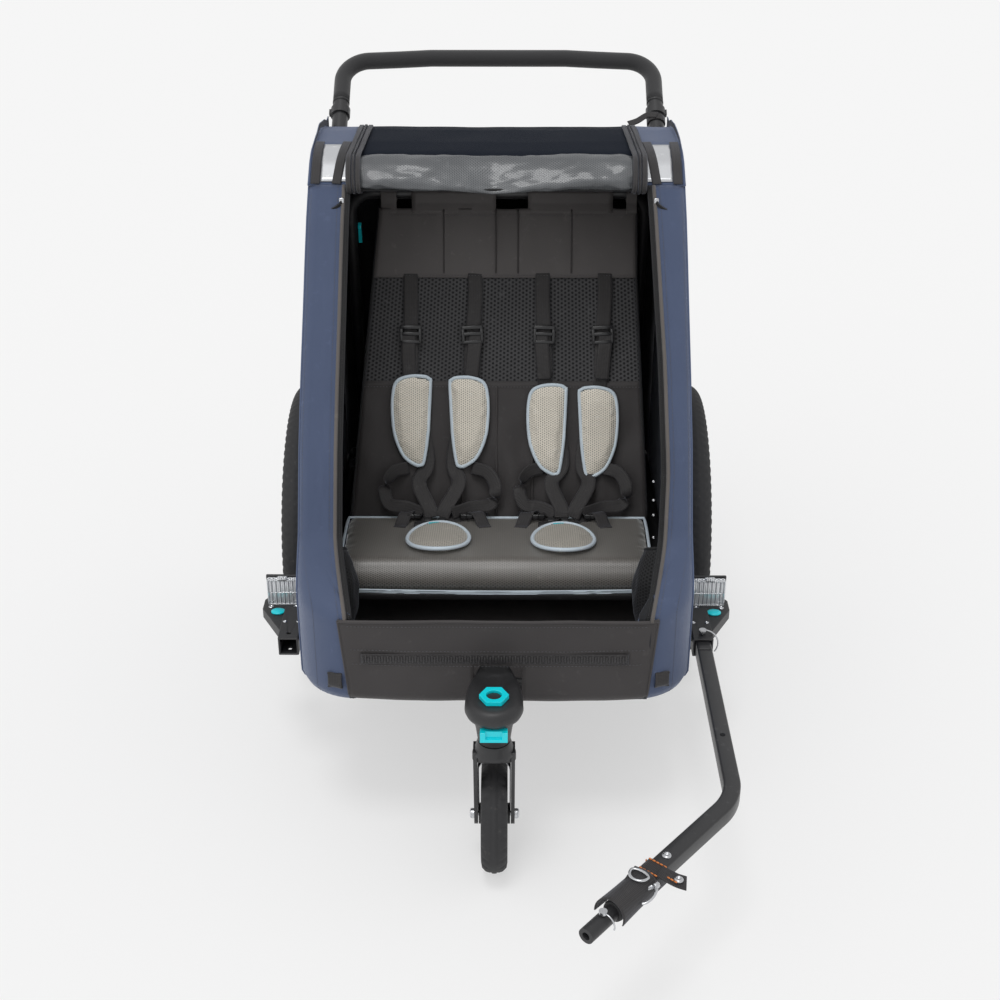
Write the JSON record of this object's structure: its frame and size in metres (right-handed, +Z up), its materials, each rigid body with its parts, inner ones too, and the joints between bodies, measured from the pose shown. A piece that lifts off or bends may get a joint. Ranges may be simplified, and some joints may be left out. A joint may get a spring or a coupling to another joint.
{
  "type": "child bicycle trailer",
  "caption": "Folding two-seat child bicycle trailer with spoked wheels, swivelling front caster, push handle, harnesses and a flexible tow arm.",
  "frame": {"origin": "on the ground under the middle of the whole length, midway between the wheels", "axes": "+Z up, -Y the towing direction, +X the trailer's left side"},
  "size_m": [0.788, 1.4498, 1.04],
  "materials": {
    "frame_black": "satin powder coat",
    "alloy": "satin",
    "steel": "bright zinc",
    "navy_fabric": "woven polyester",
    "charcoal_fabric": "woven polyester",
    "floor_fabric": "coated polyester",
    "seat_mesh": "spacer mesh",
    "pad_mesh": "spacer mesh with bound edge",
    "webbing": "woven webbing",
    "clear_cover": "rolled clear film and mesh",
    "black_plastic": "moulded",
    "teal_plastic": "moulded",
    "reflector": "clear prismatic",
    "tyre_rubber": "moulded tread",
    "grip_foam": "closed cell foam",
    "elastomer": "moulded"
  },
  "bodies": {
    "root": {"base_frame": "frame_black", "fold_pivots": "steel", "floor_panel": "floor_fabric", "front_panel": "charcoal_fabric", "side_panel_left": "navy_fabric", "side_panel_right": "navy_fabric", "rear_panel": "charcoal_fabric", "seat_front_bar": "frame_black", "seat_cushion": "seat_mesh", "seat_back": "charcoal_fabric", "harness_webbing": "webbing", "harness_pads": "pad_mesh", "strap_adjusters": "black_plastic", "buckles": "black_plastic", "wheel_guard_left": "black_plastic", "wheel_guard_right": "black_plastic", "guard_reflectors": "reflector", "axle_left": "steel", "axle_right": "steel", "brake_brackets": "black_plastic", "caster_housing": "black_plastic", "caster_bush": "teal_plastic", "tow_arm": "frame_black", "hitch_elastomer": "elastomer", "safety_strap": "webbing", "strap_hardware": "steel"},
    "cage": {"roll_cage": "frame_black", "roof_panel": "navy_fabric", "rolled_cover": "clear_cover", "wrist_strap": "webbing"},
    "handle": {"handlebar": "alloy", "foam_grip": "grip_foam"},
    "height_button_left": {"height_button_left": "black_plastic"},
    "height_button_right": {"height_button_right": "black_plastic"},
    "hoop": {"seat_hoop": "frame_black"},
    "fold_latch_left": {"fold_latch_left": "teal_plastic"},
    "fold_latch_right": {"fold_latch_right": "teal_plastic"},
    "wheel_left": {"tyre_left": "tyre_rubber", "rim_left": "alloy", "hub_left": "alloy"},
    "wheel_right": {"tyre_right": "tyre_rubber", "rim_right": "alloy", "hub_right": "alloy"},
    "axle_button_left": {"axle_button_left": "teal_plastic"},
    "axle_button_right": {"axle_button_right": "teal_plastic"},
    "brake_pedal": {"brake_pedal": "frame_black"},
    "brake_pin_left": {"brake_pin_left": "steel"},
    "brake_pin_right": {"brake_pin_right": "steel"},
    "caster_latch": {"caster_latch": "teal_plastic"},
    "caster": {"caster_fork": "alloy", "caster_axle": "steel"},
    "caster_wheel": {"caster_hub": "black_plastic", "caster_tyre": "tyre_rubber"},
    "arm_pin": {"arm_pin": "steel"},
    "hitch_core": {"hitch_core": "steel"},
    "hitch_plug": {"hitch_plug": "frame_black"},
    "hitch_pin": {"hitch_pin": "steel"},
    "buckle_button_left": {"buckle_button_left": "teal_plastic"},
    "buckle_button_right": {"buckle_button_right": "teal_plastic"}
  },
  "joints": [
    {"name": "cage_fold", "type": "hinge", "parent": "root", "child": "cage", "pos_m": [0, -0.08189, 0.305], "axis": [-1, 0, 0], "range_deg": [0, 42], "deforming": ["side_panel_left", "side_panel_right", "rear_panel"]},
    {"name": "hoop_fold", "type": "hinge", "parent": "root", "child": "hoop", "pos_m": [0, 0.52011, 0.305], "axis": [1, 0, 0], "range_deg": [0, 69], "deforming": ["seat_back", "harness_webbing", "harness_pads", "strap_adjusters"]},
    {"name": "handle_height", "type": "slide", "parent": "cage", "child": "handle", "axis": [0, 0.8271, 0.5621], "range_m": [0, 0.08]},
    {"name": "height_button_left_press", "type": "slide", "parent": "cage", "child": "height_button_left", "axis": [-1, 0, 0], "range_m": [0, 0.0015], "stiffness_N_per_m": 400, "springref_m": -0.001},
    {"name": "height_button_right_press", "type": "slide", "parent": "cage", "child": "height_button_right", "axis": [1, 0, 0], "range_m": [0, 0.0015], "stiffness_N_per_m": 400, "springref_m": -0.001},
    {"name": "fold_latch_left_turn", "type": "hinge", "parent": "hoop", "child": "fold_latch_left", "pos_m": [0, 0.44045, 0.79355], "axis": [1, 0, 0], "range_deg": [0, 20]},
    {"name": "fold_latch_right_turn", "type": "hinge", "parent": "hoop", "child": "fold_latch_right", "pos_m": [0, 0.44045, 0.79355], "axis": [1, 0, 0], "range_deg": [0, 20]},
    {"name": "wheel_left_spin", "type": "hinge", "parent": "root", "child": "wheel_left", "pos_m": [0.35, 0.37011, 0.25], "axis": [1, 0, 0], "continuous": true},
    {"name": "wheel_right_spin", "type": "hinge", "parent": "root", "child": "wheel_right", "pos_m": [-0.35, 0.37011, 0.25], "axis": [1, 0, 0], "continuous": true},
    {"name": "axle_button_left_press", "type": "slide", "parent": "root", "child": "axle_button_left", "axis": [-1, 0, 0], "range_m": [0, 0.0025], "stiffness_N_per_m": 400, "springref_m": -0.001},
    {"name": "axle_button_right_press", "type": "slide", "parent": "root", "child": "axle_button_right", "axis": [1, 0, 0], "range_m": [0, 0.0025], "stiffness_N_per_m": 400, "springref_m": -0.001},
    {"name": "brake_pedal_press", "type": "hinge", "parent": "root", "child": "brake_pedal", "pos_m": [0, 0.43011, 0.238], "axis": [-1, 0, 0], "range_deg": [0, 25]},
    {"name": "brake_pin_left_slide", "type": "slide", "parent": "root", "child": "brake_pin_left", "axis": [1, 0, 0], "range_m": [0, 0.0081]},
    {"name": "brake_pin_right_slide", "type": "slide", "parent": "root", "child": "brake_pin_right", "axis": [-1, 0, 0], "range_m": [0, 0.0081]},
    {"name": "caster_latch_slide", "type": "slide", "parent": "root", "child": "caster_latch", "axis": [0, 0, -1], "range_m": [0, 0.006], "stiffness_N_per_m": 800, "springref_m": -0.002},
    {"name": "caster_swivel", "type": "hinge", "parent": "root", "child": "caster", "pos_m": [0, -0.32989, 0.25], "axis": [0, 0, 1], "continuous": true},
    {"name": "caster_spin", "type": "hinge", "parent": "caster", "child": "caster_wheel", "pos_m": [0, -0.29289, 0.091], "axis": [1, 0, 0], "continuous": true},
    {"name": "arm_pin_pull", "type": "slide", "parent": "root", "child": "arm_pin", "axis": [0, 0, 1], "range_m": [0, 0.045]},
    {"name": "hitch_yaw", "type": "hinge", "parent": "root", "child": "hitch_core", "pos_m": [0.16191, -0.66496, 0.25], "axis": [0, 0, 1], "range_deg": [-35, 35], "stiffness_Nm_per_rad": 8, "deforming": ["hitch_elastomer"]},
    {"name": "hitch_pitch", "type": "hinge", "parent": "hitch_core", "child": "hitch_plug", "pos_m": [0.16191, -0.66496, 0.25], "axis": [0.766, -0.6428, 0], "range_deg": [-20, 20], "stiffness_Nm_per_rad": 8},
    {"name": "hitch_pin_pull", "type": "slide", "parent": "hitch_plug", "child": "hitch_pin", "axis": [0, 0, 1], "range_m": [0, 0.03]},
    {"name": "buckle_button_left_press", "type": "slide", "parent": "root", "child": "buckle_button_left", "axis": [0, -0.1908, -0.9816], "range_m": [0, 0.002], "stiffness_N_per_m": 400, "springref_m": -0.001},
    {"name": "buckle_button_right_press", "type": "slide", "parent": "root", "child": "buckle_button_right", "axis": [0, -0.1908, -0.9816], "range_m": [0, 0.002], "stiffness_N_per_m": 400, "springref_m": -0.001}
  ],
  "couplings": [
    {"joint": "hoop_fold", "follows": "cage_fold", "ratio": 1.64},
    {"joint": "brake_pin_left_slide", "follows": "brake_pedal_press", "m_per_rad": 0.01833},
    {"joint": "brake_pin_right_slide", "follows": "brake_pedal_press", "m_per_rad": 0.01833}
  ]
}
